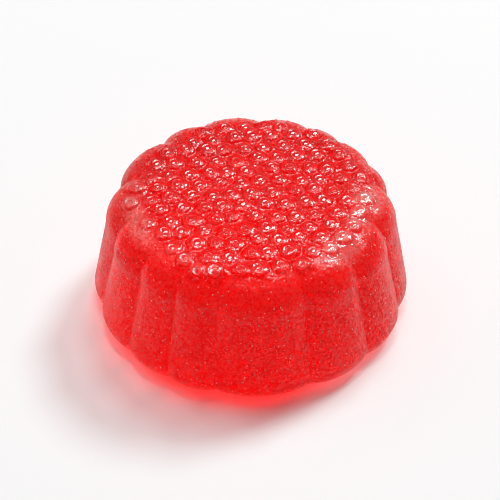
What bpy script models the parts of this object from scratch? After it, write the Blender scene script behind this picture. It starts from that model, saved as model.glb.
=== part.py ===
"""A moulded fruit gummy: a low fluted drum of jelly with a bumpy top, standing on its flat underside.

Metres, +Z up. The origin is the centre of the underside. Angles are in degrees and run round the gummy
from its front (-Y) towards +X.
"""

import math
import random

import bmesh
import bpy
from mathutils import Vector

# Body
WIDEST_RADIUS = 0.0120
RIM_RADIUS = 0.0015  # rounding under the widest level, which is this high above the underside
TOP_HEIGHT = 0.0097  # underside to the top, between its bumps
TOP_RADIUS_SHARE = 0.904  # how far the wall has drawn in at the shoulder
SHOULDER_RADIUS = 0.0026
CROWN = 0.00010  # how much the middle of the top stands above its edge

# Lobes round the side: each is as wide as it grew
FIRST_GROOVE = -75
LOBE_SPANS = (25, 19, 18, 35, 26, 26, 28, 16, 19, 16, 23, 28, 20, 32, 29)
PLAIN_SPAN = 24
RIM_GROOVE_DEPTH = 0.00036  # between two lobes of the plain span; wider lobes stand out more
TOP_GROOVE_DEPTH = 0.00056
LOBE_POWER = 2.4  # 2 makes a lobe a parabola, more makes its face flatter and its flanks steeper
GROOVE_FADE_RADIUS = 0.0045  # the grooves die out on the top at this distance from the middle

# Bumps on the top, in rows that are a little uneven
BUMP_PITCH = 0.00150
BUMP_RADIUS = 0.00078
BUMP_RISE = 0.00026
BUMP_SINK = 0.00006  # depth of a dome's widest level under the surface
BUMP_ROW_TURN = 5
BUMP_SHIFT = 0.15  # how far a bump may lie off its place in the row, over the pitch
BUMP_SIZE_SPREAD = 0.14
FIELD_RADIUS = 0.0090  # the middles of the outermost bumps on a lobe
FIELD_GROOVE_CUT = 0.0008  # how much nearer the middle they stop at a groove
BUMP_SEED = 11

# Fineness of the mesh
HALF_LOBE_STEPS = 3
RIM_STEPS = 3
WALL_STEPS = 2
SHOULDER_STEPS = 3
TOP_STEPS = 2
BUMP_SEGMENTS = 7
BUMP_RINGS = 4

JELLY_COLOUR = (0.80, 0.018, 0.016, 1.0)
JELLY_ROUGHNESS = 0.3
JELLY_GLOW_DEPTH = 0.004
SHARP_ANGLE = 35


def clear_scene():
    for thing in list(bpy.data.objects):
        bpy.data.objects.remove(thing, do_unlink=True)


def make_collection(name, parent):
    made = bpy.data.collections.new(name)
    parent.children.link(made)
    return made


def make_jelly():
    material = bpy.data.materials.new("red_jelly")
    material.use_nodes = True
    shader = material.node_tree.nodes["Principled BSDF"]
    shader.inputs["Base Color"].default_value = JELLY_COLOUR
    shader.inputs["Roughness"].default_value = JELLY_ROUGHNESS
    shader.inputs["Metallic"].default_value = 0.0
    shader.inputs["Subsurface Weight"].default_value = 1.0
    shader.inputs["Subsurface Scale"].default_value = JELLY_GLOW_DEPTH
    return material


def lobe_edges():
    """The angles of the grooves, going round once."""
    edges = [FIRST_GROOVE]
    for span in LOBE_SPANS:
        edges.append(edges[-1] + span)
    return edges


def across_lobe(angle):
    """How far in the side lies: 0 on a lobe's crown, 1 in the groove between two lobes of the plain span."""
    angle = (angle - FIRST_GROOVE) % 360 + FIRST_GROOVE
    edges = lobe_edges()
    for lobe, span in enumerate(LOBE_SPANS):
        off_crown = (angle - edges[lobe]) / (span / 2) - 1
        if abs(off_crown) <= 1:
            beside = LOBE_SPANS[(lobe + (1 if off_crown > 0 else -1)) % len(LOBE_SPANS)]
            return abs(off_crown) ** LOBE_POWER * (span + beside) / (2 * PLAIN_SPAN)
    raise ValueError("the lobe spans don't add up to 360")


def column_angles():
    """Angles of the mesh's columns, closer together near the grooves, where a lobe turns most."""
    angles = []
    edges = lobe_edges()
    for start, end in zip(edges, edges[1:]):
        half = (end - start) / 2
        for step in range(-HALF_LOBE_STEPS, HALF_LOBE_STEPS):
            quarter = math.radians(90) * step / HALF_LOBE_STEPS
            angles.append(start + half + half * math.sin(quarter))
    return angles


def profile():
    """(radius, height, groove depth) of each level, from the underside's edge up and in to near the middle."""
    wall_top = TOP_RADIUS_SHARE * WIDEST_RADIUS
    shoulder_start = TOP_HEIGHT - SHOULDER_RADIUS
    levels = []
    for step in range(RIM_STEPS):
        turn = math.radians(90) * (1 - step / RIM_STEPS)
        radius = WIDEST_RADIUS - RIM_RADIUS * (1 - math.cos(turn))
        levels.append((radius, RIM_RADIUS * (1 - math.sin(turn)), RIM_GROOVE_DEPTH))
    for step in range(WALL_STEPS):
        share = step / WALL_STEPS
        radius = WIDEST_RADIUS + (wall_top - WIDEST_RADIUS) * share
        height = RIM_RADIUS + (shoulder_start - RIM_RADIUS) * share
        depth = RIM_GROOVE_DEPTH + (TOP_GROOVE_DEPTH - RIM_GROOVE_DEPTH) * share
        levels.append((radius, height, depth))
    for step in range(SHOULDER_STEPS + 1):
        turn = math.radians(90) * step / SHOULDER_STEPS
        radius = wall_top - SHOULDER_RADIUS * (1 - math.cos(turn))
        levels.append((radius, shoulder_start + SHOULDER_RADIUS * math.sin(turn), TOP_GROOVE_DEPTH))
    flat_radius = wall_top - SHOULDER_RADIUS
    for step in range(1, TOP_STEPS + 1):
        radius = flat_radius * (1 - step / (TOP_STEPS + 1))
        height = TOP_HEIGHT + CROWN * (1 - (radius / flat_radius) ** 2)
        levels.append((radius, height, TOP_GROOVE_DEPTH * groove_fade(radius)))
    return levels


def groove_fade(radius):
    """1 at the shoulder, falling to 0 where the grooves die out on the top."""
    flat_radius = TOP_RADIUS_SHARE * WIDEST_RADIUS - SHOULDER_RADIUS
    return min(1.0, max(0.0, (radius - GROOVE_FADE_RADIUS) / (flat_radius - GROOVE_FADE_RADIUS)))


def round_the_middle(radius, angle, height):
    turn = math.radians(angle)
    return Vector((radius * math.sin(turn), -radius * math.cos(turn), height))


def top_point(radius, angle):
    """The point on the top or the shoulder at this distance from the middle."""
    flat_radius = TOP_RADIUS_SHARE * WIDEST_RADIUS - SHOULDER_RADIUS
    plain = radius + TOP_GROOVE_DEPTH * across_lobe(angle) * groove_fade(radius)
    if plain <= flat_radius:
        height = TOP_HEIGHT + CROWN * (1 - (plain / flat_radius) ** 2)
    else:
        out = min(plain - flat_radius, SHOULDER_RADIUS)
        height = TOP_HEIGHT - SHOULDER_RADIUS + math.sqrt(SHOULDER_RADIUS**2 - out**2)
    return round_the_middle(radius, angle, height)


def build_body(collection):
    """The fluted drum: rings of points joined level by level, and closed at the middle of the top."""
    mesh = bmesh.new()
    rings = []
    for radius, height, depth in profile():
        ring = []
        for angle in column_angles():
            inset = depth * across_lobe(angle)
            ring.append(mesh.verts.new(round_the_middle(radius - inset, angle, height)))
        rings.append(ring)
    for lower, upper in zip(rings, rings[1:]):
        for here in range(len(lower)):
            ahead = (here + 1) % len(lower)
            mesh.faces.new((lower[here], lower[ahead], upper[ahead], upper[here]))
    mesh.faces.new(list(reversed(rings[0])))
    middle = mesh.verts.new((0.0, 0.0, TOP_HEIGHT + CROWN))
    for here in range(len(rings[-1])):
        mesh.faces.new((rings[-1][here], rings[-1][(here + 1) % len(rings[-1])], middle))
    data = bpy.data.meshes.new("gummy")
    mesh.to_mesh(data)
    mesh.free()
    body = bpy.data.objects.new("gummy", data)
    collection.objects.link(body)
    return body


def bump_places():
    """(radius, angle, size) of every bump, along rows that cover the top out to the field's edge."""
    draw = random.Random(BUMP_SEED)
    turn = math.radians(BUMP_ROW_TURN)
    reach = math.ceil(FIELD_RADIUS / BUMP_PITCH) + 1
    places = []
    for row in range(-reach, reach + 1):
        for column in range(-reach, reach + 1):
            along = (column + 0.5 * (row % 2)) * BUMP_PITCH + draw.uniform(-1, 1) * BUMP_SHIFT * BUMP_PITCH
            up = row * BUMP_PITCH * math.sqrt(0.75) + draw.uniform(-1, 1) * BUMP_SHIFT * BUMP_PITCH
            size = 1 + draw.uniform(-1, 1) * BUMP_SIZE_SPREAD
            x = along * math.cos(turn) - up * math.sin(turn)
            y = along * math.sin(turn) + up * math.cos(turn)
            angle = math.degrees(math.atan2(x, -y))
            if math.hypot(x, y) < FIELD_RADIUS - FIELD_GROOVE_CUT * across_lobe(angle):
                places.append((math.hypot(x, y), angle, size))
    return places


def build_bump(collection, radius, angle, size):
    """One low dome, standing square on the top or the shoulder where it lies."""
    step = BUMP_RADIUS / 2
    here = top_point(radius, angle)
    outwards = top_point(radius + step, angle) - top_point(max(radius - step, 0), angle)
    sideways = round_the_middle(1, angle + 90, 0)
    upright = outwards.cross(sideways).normalized()
    bpy.ops.mesh.primitive_uv_sphere_add(
        segments=BUMP_SEGMENTS,
        ring_count=BUMP_RINGS,
        radius=1.0,
        location=here - upright * BUMP_SINK,
        rotation=upright.to_track_quat("Z", "Y").to_euler(),
        scale=(BUMP_RADIUS * size, BUMP_RADIUS * size, BUMP_RISE * size + BUMP_SINK),
    )
    bump = bpy.context.object
    for holder in list(bump.users_collection):
        holder.objects.unlink(bump)
    collection.objects.link(bump)
    return bump


def fuse(body, bumps):
    """Joins every object of the bumps' collection to the body, and removes them."""
    union = body.modifiers.new("fused_bumps", "BOOLEAN")
    union.operation = "UNION"
    union.operand_type = "COLLECTION"
    union.collection = bumps
    bpy.context.view_layer.objects.active = body
    bpy.ops.object.modifier_apply(modifier=union.name)
    for bump in list(bumps.objects):
        bpy.data.objects.remove(bump, do_unlink=True)
    bpy.data.collections.remove(bumps)


def main():
    clear_scene()
    gummies = make_collection("fruit_gummy", bpy.context.scene.collection)
    bumps = make_collection("bumps", bpy.context.scene.collection)
    body = build_body(gummies)
    for radius, angle, size in bump_places():
        build_bump(bumps, radius, angle, size)
    fuse(body, bumps)
    body.data.materials.clear()
    body.data.materials.append(make_jelly())
    body.data.shade_smooth()
    body.data.set_sharp_from_angle(angle=math.radians(SHARP_ANGLE))


main()
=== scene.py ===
import math
import random

import bpy
import numpy as np
from mathutils import Matrix, Vector, noise


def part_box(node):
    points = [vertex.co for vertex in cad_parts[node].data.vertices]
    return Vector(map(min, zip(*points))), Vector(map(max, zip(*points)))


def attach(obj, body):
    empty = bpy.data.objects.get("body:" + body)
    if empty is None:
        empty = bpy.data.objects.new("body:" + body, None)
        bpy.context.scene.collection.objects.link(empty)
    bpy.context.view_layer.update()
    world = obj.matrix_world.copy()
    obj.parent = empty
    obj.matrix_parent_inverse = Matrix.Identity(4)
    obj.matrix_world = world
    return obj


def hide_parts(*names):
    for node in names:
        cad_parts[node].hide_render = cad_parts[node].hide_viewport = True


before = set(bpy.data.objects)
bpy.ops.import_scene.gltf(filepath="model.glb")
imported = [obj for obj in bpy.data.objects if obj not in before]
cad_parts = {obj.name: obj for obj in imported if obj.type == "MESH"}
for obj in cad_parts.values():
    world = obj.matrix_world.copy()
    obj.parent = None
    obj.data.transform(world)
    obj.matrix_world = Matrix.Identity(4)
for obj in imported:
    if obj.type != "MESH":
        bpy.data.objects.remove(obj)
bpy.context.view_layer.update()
boxLow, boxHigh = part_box("gummy")
print("frame loaded")


cameraLook = {
    "elevation": 43.8,  # degrees above the floor
    "distance": 0.120,
    "focalLength": 112.5,  # millimetres
    "sensorWidth": 36,
    "clip": (0.005, 20),
    "target": (0.0, 0.0, 0.0015),
    "targetRight": -0.00008,  # how far the frame's middle lies off the target, to the right
    "targetUp": 0.0019,
    "roll": 0.26,
}


def addCamera(look):
    data = bpy.data.cameras.new("camera")
    data.sensor_width = look["sensorWidth"]
    data.lens = look["focalLength"]
    data.clip_start, data.clip_end = look["clip"]
    camera = bpy.data.objects.new("camera", data)
    bpy.context.scene.collection.objects.link(camera)
    tilt = math.radians(look["elevation"])
    away = Vector((0, -math.cos(tilt), math.sin(tilt)))
    upwards = Vector((0, math.sin(tilt), math.cos(tilt)))
    target = Vector(look["target"])
    aim = target + upwards * look["targetUp"] + Vector((look["targetRight"], 0, 0))
    camera.location = target + away * look["distance"]
    turn = (aim - camera.location).to_track_quat("-Z", "Y").to_matrix()
    camera.rotation_euler = (turn @ Matrix.Rotation(math.radians(look["roll"]), 3, "Z")).to_euler()
    bpy.context.scene.camera = camera


addCamera(cameraLook)
print("camera placed")


gummyShape = {
    "widestRadius": 0.9985 * (boxHigh.x - boxLow.x) / 2,  # a little inside the solid's box
    "rimRadius": 0.0015,
    "topHeight": 0.0097,
    "topRadiusShare": 0.904,
    "shoulderRadius": 0.0026,
    "crown": 0.00010,
    # lobes round the side, in degrees
    "firstGroove": -75,
    "lobeSpans": (25, 19, 18, 35, 26, 26, 28, 16, 19, 16, 23, 28, 20, 32, 29),
    "plainSpan": 24,
    "rimGrooveDepth": 0.00036,
    "topGrooveDepth": 0.00056,
    "lobePower": 2.4,
    "grooveFadeRadius": 0.0045,
    # bumps on the top
    "bumpPitch": 0.00150,
    "bumpRadius": 0.00078,
    "bumpRise": 0.00020,
    "bumpFlatness": 3.4,  # power of a dome's profile: 2 is a parabola, more is flatter with steeper sides
    "bumpSpan": 1.6,  # how far out a bump is worked out, over its radius
    "rowTurn": 5,
    "bumpShift": 0.15,
    "bumpSizeSpread": 0.14,
    "bumpSeed": 11,
    "fieldRadius": 0.0090,
    "fieldGrooveCut": 0.0008,
    "fieldFade": (2.2, 1.5),  # the field's mask at a bump's middle, and its fall in one bump radius
    # pit in the middle of each bump, and the raised ring round it
    "ringRadius": 0.00038,
    "ringWidth": 0.00009,
    "ringRise": 0.00001,
    "pitRadius": 0.00026,
    "pitDepth": 0.00002,
    "pitDepths": (0.5, 1.25),  # each pit draws its depth and its size between these
    "pitSizes": (0.80, 1.02),
    "pitShift": 0.00010,  # how far a pit may lie off the middle of its dome
    "pitLength": 1.2,  # how much longer a pit is from front to back than across
    "pitFloorRight": 0.00011,  # its floor is a small disc off its middle, and leans to the front right
    "pitFloorFront": 0.00020,
    "pitFloorTurn": 55,
    "maskReach": 0.0008,  # the masks give distances from a pit's middle over this
    # small dots between the bumps
    "dotCount": 1100,
    "dotRadius": 0.00012,
    "dotSizes": (0.7, 1.4),
    "dotSpan": 2.5,  # how far out a dot is worked out, over its radius
    "dotRise": 0.000055,
    "dotGapHeight": 0.00012,  # they show only where the domes are lower than this
    "dotSeed": 5,
    # unevenness of the surface
    "grainSize": 0.00040,
    "grainDepth": 0.000010,
    "lumpSize": 0.0030,
    "lumpDepth": 0.00004,
    # painted highlights on the shoulder, pale areas where the lamps reflect: angle, radius, reach across,
    # reach along in degrees, strength
    "highlightPatches": (
        (48, 0.0085, 0.0009, 10, 1.8),
        (70, 0.0082, 0.0008, 6, 1.4),
        (87, 0.0086, 0.0008, 8, 2.2),
        (-72, 0.0088, 0.0008, 22, 0.75),
        (-35, 0.0085, 0.0006, 16, 0.25),
        (20, 0.0086, 0.0005, 12, 0.25),
    ),
    # fineness of the mesh
    "topRings": 120,
    "shoulderSteps": 44,
    "wallSteps": 10,
    "rimSteps": 8,
    "undersideSteps": 3,
}

wallTop = gummyShape["topRadiusShare"] * gummyShape["widestRadius"]
flatRadius = wallTop - gummyShape["shoulderRadius"]
shoulderStart = gummyShape["topHeight"] - gummyShape["shoulderRadius"]


def acrossLobe(angles):
    spans = np.array(gummyShape["lobeSpans"], float)
    starts = gummyShape["firstGroove"] + np.concatenate([[0], np.cumsum(spans)[:-1]])
    angles = (np.asarray(angles, float) - gummyShape["firstGroove"]) % 360 + gummyShape["firstGroove"]
    lobe = np.searchsorted(starts, angles, side="right") - 1
    offCrown = (angles - starts[lobe]) / (spans[lobe] / 2) - 1
    beside = spans[(lobe + np.where(offCrown > 0, 1, -1)) % len(spans)]
    inset = np.abs(offCrown) ** gummyShape["lobePower"] * (spans[lobe] + beside)
    return inset / (2 * gummyShape["plainSpan"])


def grooveFade(radius):
    fade = gummyShape["grooveFadeRadius"]
    return np.clip((radius - fade) / (flatRadius - fade), 0, 1)


def onTop(radius, angles):
    plain = radius + gummyShape["topGrooveDepth"] * acrossLobe(angles) * grooveFade(radius)
    out = np.clip(plain - flatRadius, 0, gummyShape["shoulderRadius"])
    flat = gummyShape["topHeight"] + gummyShape["crown"] * (1 - np.minimum(plain / flatRadius, 1) ** 2)
    rounded = shoulderStart + np.sqrt(gummyShape["shoulderRadius"] ** 2 - out**2)
    height = np.where(plain <= flatRadius, flat, rounded)
    turn = np.radians(angles)
    return np.stack([radius * np.sin(turn), -radius * np.cos(turn), height], axis=-1)


def bumpPlaces():
    draw = random.Random(gummyShape["bumpSeed"])
    turn = math.radians(gummyShape["rowTurn"])
    pitch = gummyShape["bumpPitch"]
    reach = math.ceil(gummyShape["fieldRadius"] / pitch) + 1
    places = []
    for row in range(-reach, reach + 1):
        for column in range(-reach, reach + 1):
            along = (column + 0.5 * (row % 2)) * pitch + draw.uniform(-1, 1) * gummyShape["bumpShift"] * pitch
            up = row * pitch * math.sqrt(0.75) + draw.uniform(-1, 1) * gummyShape["bumpShift"] * pitch
            size = 1 + draw.uniform(-1, 1) * gummyShape["bumpSizeSpread"]
            x = along * math.cos(turn) - up * math.sin(turn)
            y = along * math.sin(turn) + up * math.cos(turn)
            angle = math.degrees(math.atan2(x, -y))
            edge = gummyShape["fieldRadius"] - gummyShape["fieldGrooveCut"] * float(acrossLobe(angle))
            if math.hypot(x, y) < edge:
                places.append((math.hypot(x, y), angle, size))
    return np.array(places)


def ringPoints(radius, height, depth, count):
    angles = np.arange(count) * 360 / count
    turn = np.radians(angles)
    r = radius - depth * acrossLobe(angles)
    return np.stack([r * np.sin(turn), -r * np.cos(turn), np.full(count, height)], axis=-1)


def profileBelowTop():
    widest, rim = gummyShape["widestRadius"], gummyShape["rimRadius"]
    topDepth, rimDepth = gummyShape["topGrooveDepth"], gummyShape["rimGrooveDepth"]
    levels = []
    for step in range(1, gummyShape["shoulderSteps"] + 1):
        turn = math.radians(90) * (1 - step / gummyShape["shoulderSteps"])
        radius = wallTop - gummyShape["shoulderRadius"] * (1 - math.cos(turn))
        levels.append((radius, shoulderStart + gummyShape["shoulderRadius"] * math.sin(turn), topDepth))
    for step in range(1, gummyShape["wallSteps"] + 1):
        share = step / gummyShape["wallSteps"]
        radius = wallTop + (widest - wallTop) * share
        height = shoulderStart + (rim - shoulderStart) * share
        levels.append((radius, height, topDepth + (rimDepth - topDepth) * share))
    for step in range(1, gummyShape["rimSteps"] + 1):
        turn = math.radians(90) * step / gummyShape["rimSteps"]
        levels.append((widest - rim * (1 - math.cos(turn)), rim * (1 - math.sin(turn)), rimDepth))
    for step in range(1, gummyShape["undersideSteps"]):
        levels.append(((widest - rim) * (1 - step / gummyShape["undersideSteps"]), 0.0, 0.0))
    return levels


def discFaces(rings):
    # ring k has 6 * k points, which keeps the triangles even all over the top
    first = [0] + [1 + 3 * k * (k - 1) for k in range(1, rings + 1)]
    faces = [(0, 1 + j, 1 + (j + 1) % 6) for j in range(6)]
    for k in range(1, rings):
        inner, outer = first[k], first[k + 1]
        nInner, nOuter = 6 * k, 6 * (k + 1)
        for side in range(6):
            for j in range(k + 1):
                a = outer + (side * (k + 1) + j) % nOuter
                b = outer + (side * (k + 1) + j + 1) % nOuter
                c = inner + (side * k + j) % nInner
                faces.append((c, a, b))
                if j < k:
                    d = inner + (side * k + j + 1) % nInner
                    faces.append((c, b, d))
    return faces, first[rings]


def gummyMesh():
    rings = gummyShape["topRings"]
    points = [np.array([[0, 0, gummyShape["topHeight"] + gummyShape["crown"]]])]
    for k in range(1, rings + 1):
        radius = flatRadius * k / rings
        angles = np.arange(6 * k) * 60 / k
        depth = gummyShape["topGrooveDepth"] * grooveFade(radius)
        height = gummyShape["topHeight"] + gummyShape["crown"] * (1 - (radius / flatRadius) ** 2)
        points.append(ringPoints(radius, height, depth, 6 * k))
    faces, start = discFaces(rings)
    count = 6 * rings
    for radius, height, depth in profileBelowTop():
        points.append(ringPoints(radius, height, depth, count))
        for j in range(count):
            k = (j + 1) % count
            faces.append((start + j, start + count + j, start + count + k, start + k))
        start += count
    points = np.concatenate([*points, [[0, 0, 0]]])
    for j in range(count):
        faces.append((start + j, len(points) - 1, start + (j + 1) % count))
    data = bpy.data.meshes.new("gummyJelly")
    data.from_pydata(points.tolist(), [], faces)
    data.update()
    return data


def pointsNear(points, centre, distance):
    return np.where(np.abs(points - centre).max(axis=1) < distance)[0]


def middleRelief(away, depth):
    offRing = (away - gummyShape["ringRadius"]) / gummyShape["ringWidth"]
    ring = gummyShape["ringRise"] * np.exp(-(offRing**2))
    pit = gummyShape["pitDepth"] * np.exp(-((away / gummyShape["pitRadius"]) ** 2))
    return (ring - pit) * depth


def bumpHeights(points):
    shape = gummyShape
    reach = shape["maskReach"]
    full, fall = shape["fieldFade"]
    places = bumpPlaces()
    centres = onTop(places[:, 0], places[:, 1])
    draw = np.random.default_rng(shape["bumpSeed"])
    height = np.zeros(len(points))
    cover = np.zeros(len(points))
    bodies = np.zeros(len(points))
    away = np.full(len(points), reach)
    offFloors = np.full(len(points), reach)
    leans = np.zeros(len(points))
    shares = np.ones(len(points))
    depths = np.ones(len(points))
    stretch = (1, shape["pitLength"], 1)
    floorTurn = math.radians(shape["pitFloorTurn"])
    downhill = np.array((math.cos(floorTurn), -math.sin(floorTurn), 0))
    for centre, size in zip(centres, places[:, 2]):
        radius = shape["bumpRadius"] * size
        depth = draw.uniform(*shape["pitDepths"])
        pitSize = size * draw.uniform(*shape["pitSizes"])
        middle = centre + np.append(draw.uniform(-1, 1, 2) * shape["pitShift"], 0)
        pitFloor = middle + np.array((shape["pitFloorRight"], -shape["pitFloorFront"], 0)) * pitSize
        near = pointsNear(points, centre, shape["bumpSpan"] * radius)
        share = np.linalg.norm(points[near] - centre, axis=1) / radius
        offMiddle = np.linalg.norm((points[near] - middle) / stretch, axis=1) / pitSize
        offFloor = np.linalg.norm((points[near] - pitFloor) / stretch, axis=1) / pitSize
        body = shape["bumpRise"] * size * np.clip(1 - share ** shape["bumpFlatness"], 0, 1)
        dome = body + middleRelief(offMiddle, depth) * (share < 1)
        mine = (body > bodies[near]) & (share < 1)
        bodies[near] = np.maximum(bodies[near], body)
        away[near[mine]] = offMiddle[mine]
        offFloors[near[mine]] = offFloor[mine]
        leans[near[mine]] = ((points[near] - pitFloor) @ downhill)[mine] / pitSize
        depths[near[mine]] = depth
        shares[near] = np.minimum(shares[near], share)
        height[near] = np.where(mine, dome, height[near])
        cover[near] = np.maximum(cover[near], np.clip(full - fall * share, 0, 1))
    masks = {
        "stipple": cover,
        "ring": away / reach,
        "pitFloor": offFloors / reach,
        "lean": np.clip(0.5 - leans / reach, 0, 1),
        "share": shares,
        "ringDepth": depths,
    }
    return height, masks


def dotHeights(points, height):
    draw = np.random.default_rng(gummyShape["dotSeed"])
    reach = gummyShape["fieldRadius"] + gummyShape["bumpRadius"]
    dots = np.zeros(len(points))
    for _ in range(gummyShape["dotCount"]):
        radius = reach * math.sqrt(draw.random())
        angle = draw.uniform(0, 360)
        size = gummyShape["dotRadius"] * draw.uniform(*gummyShape["dotSizes"])
        centre = onTop(np.array(radius), np.array(angle))
        near = pointsNear(points, centre, gummyShape["dotSpan"] * size)
        away = np.linalg.norm(points[near] - centre, axis=1)
        if len(near) and height[near[np.argmin(away)]] < gummyShape["dotGapHeight"]:
            dots[near] += gummyShape["dotRise"] * np.exp(-((away / size) ** 2))
    return dots


def noiseHeights(points, size, depth):
    return np.array([noise.noise(Vector(point) / size) for point in points.tolist()]) * depth


# strength of the painted highlights on the shoulder's pale areas
def highlightPatchStrength(points):
    radius = np.hypot(points[:, 0], points[:, 1])
    angles = np.degrees(np.arctan2(points[:, 0], -points[:, 1]))
    patchHighlight = np.zeros(len(points))
    for angle, middle, across, along, strength in gummyShape["highlightPatches"]:
        turned = (angles - angle + 180) % 360 - 180
        here = strength * np.exp(-(((radius - middle) / across) ** 2) - (turned / along) ** 2)
        patchHighlight = np.maximum(patchHighlight, here)
    return patchHighlight * (points[:, 2] > shoulderStart)


def addGummy():
    data = gummyMesh()
    count = len(data.vertices)
    points = np.empty(count * 3)
    normals = np.empty(count * 3, np.float32)
    data.vertices.foreach_get("co", points)
    data.vertex_normals.foreach_get("vector", normals)
    points, normals = points.reshape(-1, 3), normals.reshape(-1, 3)
    upper = points[:, 2] > shoulderStart
    height = np.zeros(count)
    masks = {name: np.ones(count) for name in ("ring", "pitFloor", "share", "ringDepth")}
    masks["stipple"] = np.zeros(count)
    masks["lean"] = np.full(count, 0.5)
    height[upper], upperMasks = bumpHeights(points[upper])
    for name, values in upperMasks.items():
        masks[name][upper] = values
    # strength of the painted highlights on the shoulder
    masks["highlightPatches"] = highlightPatchStrength(points)
    masks["gloss"] = np.clip((points[:, 2] - shoulderStart) / gummyShape["shoulderRadius"], 0, 1) ** 2
    height[upper] += dotHeights(points[upper], height[upper])
    grain = noiseHeights(points, gummyShape["grainSize"], gummyShape["grainDepth"])
    lumps = noiseHeights(points, gummyShape["lumpSize"], gummyShape["lumpDepth"]) - gummyShape["lumpDepth"]
    standing = np.clip(points[:, 2] / gummyShape["rimRadius"], 0, 1)
    height += grain * masks["stipple"] + lumps * standing
    points += normals * height[:, None]
    data.vertices.foreach_set("co", points.ravel())
    for name, values in masks.items():
        layer = data.attributes.new(name, "FLOAT", "POINT")
        layer.data.foreach_set("value", values.astype(np.float32))
    data.shade_smooth()
    data.update()
    gummy = bpy.data.objects.new("gummyJelly", data)
    bpy.context.scene.collection.objects.link(gummy)
    return gummy


# four numbers that aren't a colour or a tint are a ramp: what goes in at its ends, and what comes out there
jellyLook = {
    "sideColour": (0.975, 0.001, 0.001, 1),
    # the top is painted darker than the side, as shade against the light falling on it
    "shadedTopColour": (0.86, 0.001, 0.001, 1),
    # painted shade for the gaps between the bumps and the furrows of the side's grain
    "paintedShadeColour": (0.84, 0.0, 0.0, 1),
    # pale colour of the painted glints and highlights on specks, rings and dots
    "paintedHighlightColour": (1.0, 0.92, 0.88, 1),
    # painted sheen and painted highlights on the shoulder
    "sheenColour": (1.0, 0.30, 0.27, 1),
    "glowDepth": 0.012,
    "glowSpread": (1.0, 0.35, 0.30),
    "clearness": 0.54,
    "ior": 1.27,
    "specularLevel": 0.07,
    "sideRoughness": 0.50,
    "topRoughness": 0.38,
    "coatRoughness": 0.12,
    "coatIor": 1.75,
    "reliefDepth": 0.00008,
    "facingBlend": 0.5,
    # specks and leather grain of the side: painted glints on the specks, painted shade in the furrows
    "speckSize": 0.00036,  # distance between the bright specks
    "speckWidth": 0.18,  # reach of a speck, and of its full brightness, over that distance
    "speckCore": 0.108,
    "speckRelief": 1.5,
    "speckCloudSize": 0.0009,
    "speckCloud": (0.38, 0.60, 0.15, 1),
    "faintSize": 0.000216,
    "faintSpecks": (0.30, 0.12, 0, 0.65),
    "faintGlintPaint": 0.10,
    "leatherSize": 0.00020,
    "leatherGloss": (0.50, 0.62, 0, 0.6),
    "leatherFurrowShade": (0.48, 0.38, 0, 0.12),
    "flank": (0.18, 0.50, 0.5, 1),  # they show more on the flanks of the lobes
    "sandSize": 0.00015,
    "sand": (0, 1, 0.40, 0.08),
    # painted sheen where the surface turns away, and painted highlights on the shoulder's pale areas
    "sheenLimit": 0.7,
    "sheenPower": 2.6,
    "shoulderSheen": (0, 0.3, 0, 0.12),
    "fieldSheen": (0, 1, 1, 0.05),
    "patchHighlightPaint": 1.3,
    "patchGloss": (0.2, 0.8, 0, 1),
    "sparkle": (0.35, 0.65, 0.35, 1.6),
    # gaps between the bumps, painted with shade, and the dots in them, painted with glints
    "gaps": (0.66, 0.78, 0, 1),
    "gapGloss": 0.25,
    "gapShadeStrength": 0.8,
    "dotSize": 0.00030,
    "dots": (0.44, 0.34, 0, 1),
    "dotZone": (0.50, 0.56, 0, 1),
    "dotRelief": (0.42, 0, 0, 0.42),
    "dotCloudSize": 0.0005,
    "dotGlintPaint": (0.4, 0.6, 0.05, 0.20),
    # pits and rings, with painted highlights round the rings
    "wobbleSize": 0.00025,
    "wobble": 0.18,
    "ringHighlightStrength": 0.09,
    "breakSize": 0.00014,
    "breaks": (0.38, 0.48, 0.2, 1),
    "blotchSize": 0.0002,
    "blotches": (0.36, 0.58, 0.25, 1),
    "floorGloss": (0.26, 0.20, 0, 1),
    "floorEdge": (0.29, 0.22, 0, 1),
    "floorSteepness": 2.6,
    "topGloss": (0.6, 0.9, 0, 0.35),
    "ringEdge": (0.45, 0.51, 1, 0.35),
    # distance from a pit's middle, over maskReach, and the height, painted highlight and gloss there
    "ringRelief": ((0, 0.40), (0.26, 0.40), (0.42, 0.96), (0.46, 0.96), (0.52, 0.86), (0.62, 0.85),
                   (0.68, 0.88), (0.73, 0.80), (1, 0.80)),
    "ringHighlightPaint": ((0, 0.4), (0.10, 0), (0.34, 0), (0.40, 1), (0.46, 0), (0.60, 0), (0.65, 0.6), (0.70, 0),
                  (1, 0)),
    "ringGloss": ((0, 1), (0.47, 1), (0.52, 0.15), (0.54, 0.05), (0.71, 0.05), (0.75, 0.8), (0.79, 0.05),
                  (1, 0.05)),
    # what light that crosses the surface keeps: more where it only clips the side, and at the thin lower rim
    "clearTint": (0.54, 0.03, 0.03, 1),
    "sideTint": (0.28, 0.02, 0.02, 1),
    "grazingTint": (0.70, 0.58, 0.58, 1),
    "rimTint": (0.60, 0.66, 0.66, 1),
    "level": (0.09, 0.36, 0, 1),
    "grazing": (0.3, 0.9, 0, 1),
    "rim": (0.0016, 0.0010, 0, 1),
}


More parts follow.
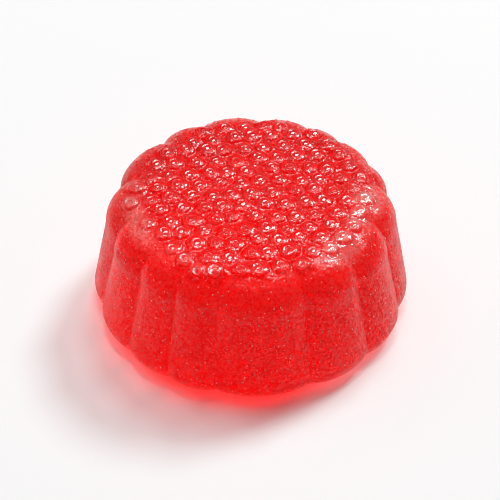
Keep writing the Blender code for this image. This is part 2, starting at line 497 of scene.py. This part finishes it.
def jellyMaterial(look):
    material = bpy.data.materials.new("redJelly")
    material.use_nodes = True
    nodes, links = material.node_tree.nodes, material.node_tree.links
    nodes.clear()

    def add(kind, **settings):
        node = nodes.new(kind)
        for name, value in settings.items():
            setattr(node, name, value)
        return node

    def ramp(source, ends):
        node = add("ShaderNodeMapRange", clamp=True)
        for name, value in zip(("From Min", "From Max", "To Min", "To Max"), ends):
            node.inputs[name].default_value = value
        links.new(source, node.inputs["Value"])
        return node.outputs["Result"]

    def blend(factor, first, second):
        node = add("ShaderNodeMix", data_type="RGBA")
        if isinstance(first, tuple):
            node.inputs["A"].default_value = first
        else:
            links.new(first, node.inputs["A"])
        node.inputs["B"].default_value = second
        links.new(factor, node.inputs["Factor"])
        return node.outputs["Result"]

    def combine(operation, first, second):
        node = add("ShaderNodeMath", operation=operation)
        for socket, value in zip(node.inputs, (first, second)):
            if isinstance(value, (int, float)):
                socket.default_value = value
            else:
                links.new(value, socket)
        return node.outputs["Value"]

    def times(first, second):
        return combine("MULTIPLY", first, second)

    def plus(first, second):
        return combine("ADD", first, second)

    def larger(first, second):
        return combine("MAXIMUM", first, second)

    def mask(name):
        return add("ShaderNodeAttribute", attribute_name=name).outputs["Fac"]

    def curve(source, points):
        node = add("ShaderNodeFloatCurve")
        line = node.mapping.curves[0]
        line.points[0].location, line.points[-1].location = points[0], points[-1]
        for point in points[1:-1]:
            line.points.new(*point)
        for point in line.points:
            point.handle_type = "VECTOR"
        node.mapping.update()
        links.new(source, node.inputs["Value"])
        return node.outputs["Value"]

    def cells(size):
        node = add("ShaderNodeTexVoronoi", voronoi_dimensions="3D")
        node.inputs["Scale"].default_value = 1 / size
        links.new(place, node.inputs["Vector"])
        return node.outputs["Distance"]

    def cloud(size, detail=2):
        node = add("ShaderNodeTexNoise")
        node.inputs["Scale"].default_value = 1 / size
        node.inputs["Detail"].default_value = detail
        links.new(place, node.inputs["Vector"])
        return node.outputs["Fac"]

    output = add("ShaderNodeOutputMaterial")
    shader = add("ShaderNodeBsdfPrincipled")
    shader.inputs["Subsurface Weight"].default_value = 1.0
    shader.inputs["Subsurface Radius"].default_value = look["glowSpread"]
    shader.inputs["Subsurface Scale"].default_value = look["glowDepth"]
    shader.inputs["IOR"].default_value = look["ior"]
    shader.inputs["Transmission Weight"].default_value = look["clearness"]
    shader.inputs["Specular IOR Level"].default_value = look["specularLevel"]
    shader.inputs["Coat Roughness"].default_value = look["coatRoughness"]
    shader.inputs["Coat IOR"].default_value = look["coatIor"]

    place = add("ShaderNodeTexCoord").outputs["Object"]
    stipple, gloss, highlightPatches, share = mask("stipple"), mask("gloss"), mask("highlightPatches"), mask("share")
    facing = add("ShaderNodeLayerWeight")
    facing.inputs["Blend"].default_value = look["facingBlend"]
    facing = facing.outputs["Facing"]
    wobble = times(combine("SUBTRACT", cloud(look["wobbleSize"]), 0.5), look["wobble"])
    ring = plus(mask("ring"), wobble)
    pitFloor = plus(mask("pitFloor"), wobble)
    side = combine("SUBTRACT", 1, stipple)
    gap = times(ramp(share, look["gaps"]), stipple)

    # white specks on the side, some bright and more of them faint, painted pale as glints and also glossy and
    # raised; between them the leather grain, with painted shade in its furrows
    offSpeck = cells(look["speckSize"])
    bright = ramp(offSpeck, (look["speckWidth"], look["speckCore"], 0, 1))
    bright = times(bright, ramp(cloud(look["speckCloudSize"]), look["speckCloud"]))
    faint = ramp(cells(look["faintSize"]), look["faintSpecks"])
    leather = cloud(look["leatherSize"], 1)
    grain = times(larger(faint, ramp(leather, look["leatherGloss"])), ramp(facing, look["flank"]))
    # painted shade in the furrows of the side's grain
    furrowShade = times(ramp(leather, look["leatherFurrowShade"]), side)
    glints = times(larger(bright, grain), side)
    # painted glints on the specks
    speckGlintPaint = times(larger(bright, times(faint, look["faintGlintPaint"])), side)

    # small dots in the gaps between the bumps, glossy and painted pale as glints
    offDot = cells(look["dotSize"])
    dots = times(times(ramp(offDot, look["dots"]), ramp(share, look["dotZone"])), stipple)
    # painted glints on the dots
    dotGlintPaint = times(times(dots, gap), ramp(cloud(look["dotCloudSize"]), look["dotGlintPaint"]))

    # colour: top painted darker as shade, painted sheen and shoulder highlights, painted shade in the gaps
    # and furrows, then painted glints and highlights
    turned = combine("POWER", combine("MINIMUM", facing, look["sheenLimit"]), look["sheenPower"])
    turned = times(larger(turned, ramp(gloss, look["shoulderSheen"])), ramp(stipple, look["fieldSheen"]))
    # painted sheen, and painted highlights on the shoulder's pale areas, mottled by the leather cloud
    sheen = times(larger(turned, times(highlightPatches, look["patchHighlightPaint"])), ramp(leather, look["sparkle"]))
    # the top painted darker than the side as shade
    colour = blend(stipple, look["sideColour"], look["shadedTopColour"])
    colour = blend(sheen, colour, look["sheenColour"])
    # painted shade in the gaps and in the side's furrows
    colour = blend(larger(times(gap, look["gapShadeStrength"]), furrowShade), colour, look["paintedShadeColour"])
    # painted highlights round the rings
    ringHighlightPaint = times(curve(ring, look["ringHighlightPaint"]), times(stipple, look["ringHighlightStrength"]))
    # painted glints on specks and dots, painted highlights round the rings
    paintedHighlightMarks = larger(larger(speckGlintPaint, ringHighlightPaint), dotGlintPaint)
    links.new(blend(paintedHighlightMarks, colour, look["paintedHighlightColour"]), shader.inputs["Base Color"])

    # gloss: broken round the rings, blotched on the floors of the pits, full on dots and specks
    roughness = ramp(gloss, (0, 1, look["sideRoughness"], look["topRoughness"]))
    links.new(roughness, shader.inputs["Roughness"])
    breaks = ramp(cloud(look["breakSize"], 0), look["breaks"])
    blotches = ramp(cloud(look["blotchSize"], 1), look["blotches"])
    wet = times(curve(ring, look["ringGloss"]), times(stipple, breaks))
    wet = larger(wet, times(ramp(pitFloor, look["floorGloss"]), times(blotches, stipple)))
    wet = larger(larger(wet, dots), larger(glints, ramp(highlightPatches, look["patchGloss"])))
    wet = larger(wet, times(ramp(gloss, look["topGloss"]), ramp(ring, look["ringEdge"])))
    links.new(larger(wet, times(gap, look["gapGloss"])), shader.inputs["Coat Weight"])

    # relief: rings with their leaning floors, sand, specks and dots
    lean = times(combine("SUBTRACT", mask("lean"), 0.5), look["floorSteepness"])
    lean = times(lean, ramp(pitFloor, look["floorEdge"]))
    pits = times(times(plus(curve(ring, look["ringRelief"]), lean), stipple), mask("ringDepth"))
    sand = times(cloud(look["sandSize"]), ramp(stipple, look["sand"]))
    speckRelief = times(ramp(offSpeck, (look["speckWidth"], 0, 0, look["speckRelief"])), side)
    grit = larger(speckRelief, times(ramp(offDot, look["dotRelief"]), gap))
    bump = add("ShaderNodeBump")
    bump.inputs["Strength"].default_value = 1.0
    bump.inputs["Distance"].default_value = look["reliefDepth"]
    links.new(plus(plus(pits, sand), grit), bump.inputs["Height"])
    links.new(bump.outputs["Normal"], shader.inputs["Normal"])
    links.new(bump.outputs["Normal"], shader.inputs["Coat Normal"])

    # light passes the surface tinted, so that the jelly glows inside and reddens the floor
    normalParts = add("ShaderNodeSeparateXYZ")
    links.new(add("ShaderNodeNewGeometry").outputs["True Normal"], normalParts.inputs["Vector"])
    placeParts = add("ShaderNodeSeparateXYZ")
    links.new(place, placeParts.inputs["Vector"])
    tint = blend(ramp(facing, look["grazing"]), look["sideTint"], look["grazingTint"])
    level = ramp(times(normalParts.outputs["Z"], normalParts.outputs["Z"]), look["level"])
    tint = blend(level, tint, look["clearTint"])
    tint = blend(ramp(placeParts.outputs["Z"], look["rim"]), tint, look["rimTint"])
    through = add("ShaderNodeBsdfTransparent")
    links.new(tint, through.inputs["Color"])
    mix = add("ShaderNodeMixShader")
    links.new(add("ShaderNodeLightPath").outputs["Is Shadow Ray"], mix.inputs["Fac"])
    links.new(shader.outputs["BSDF"], mix.inputs[1])
    links.new(through.outputs["BSDF"], mix.inputs[2])
    links.new(mix.outputs["Shader"], output.inputs["Surface"])
    return material


gummy = addGummy()
gummy.data.materials.append(jellyMaterial(jellyLook))
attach(gummy, "root")
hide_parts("gummy")
print("gummy built:", len(gummy.data.polygons), "faces")


studio = {
    "floorSize": 1.2,
    "floorDrop": 0.00002,  # keeps the floor clear of the underside
    "floorColour": (0.92, 0.92, 0.92, 1),
    "floorRoughness": 0.8,
    "floorSpecular": 0.1,
    "roomStrength": 0.08,
    "pixelFilter": 1.0,
    "lampDistance": 1.5,
    # azimuth from +Y (back) towards +X (right), elevation, width, power
    "softboxes": {
        "keySoftbox": (40, 46, 0.38, 12.1),
        "middleSoftbox": (20, 59, 0.36, 5.7),
        "topSoftbox": (-8, 72, 0.46, 7.0),
        "leftSoftbox": (-60, 52, 1.00, 1.8),
    },
}


def addFloor(look):
    half = look["floorSize"] / 2
    data = bpy.data.meshes.new("floor")
    corners = [(-half, -half, 0), (half, -half, 0), (half, half, 0), (-half, half, 0)]
    data.from_pydata(corners, [], [(0, 1, 2, 3)])
    floor = bpy.data.objects.new("floor", data)
    bpy.context.scene.collection.objects.link(floor)
    floor.location.z = -look["floorDrop"]
    material = bpy.data.materials.new("paleFloor")
    material.use_nodes = True
    shader = material.node_tree.nodes["Principled BSDF"]
    shader.inputs["Base Color"].default_value = look["floorColour"]
    shader.inputs["Roughness"].default_value = look["floorRoughness"]
    shader.inputs["Specular IOR Level"].default_value = look["floorSpecular"]
    data.materials.append(material)


def addSoftbox(name, azimuth, elevation, distance, size, power):
    data = bpy.data.lights.new(name, "AREA")
    data.shape = "DISK"
    data.size = size
    data.energy = power
    box = bpy.data.objects.new(name, data)
    bpy.context.scene.collection.objects.link(box)
    turn, tilt = math.radians(azimuth), math.radians(elevation)
    towards = Vector((math.sin(turn) * math.cos(tilt), math.cos(turn) * math.cos(tilt), math.sin(tilt)))
    box.location = towards * distance
    box.rotation_euler = towards.to_track_quat("Z", "Y").to_euler()


def addWorld(strength):
    world = bpy.data.worlds.new("studio")
    bpy.context.scene.world = world
    world.use_nodes = True
    room = world.node_tree.nodes["Background"]
    room.inputs["Color"].default_value = (1, 1, 1, 1)
    room.inputs["Strength"].default_value = strength


addFloor(studio)
addWorld(studio["roomStrength"])
for name, (azimuth, elevation, size, power) in studio["softboxes"].items():
    addSoftbox(name, azimuth, elevation, studio["lampDistance"], size, power)
bpy.context.scene.view_settings.view_transform = "Standard"
bpy.context.scene.view_settings.look = "None"
bpy.context.scene.cycles.filter_width = studio["pixelFilter"]
print("studio lit")
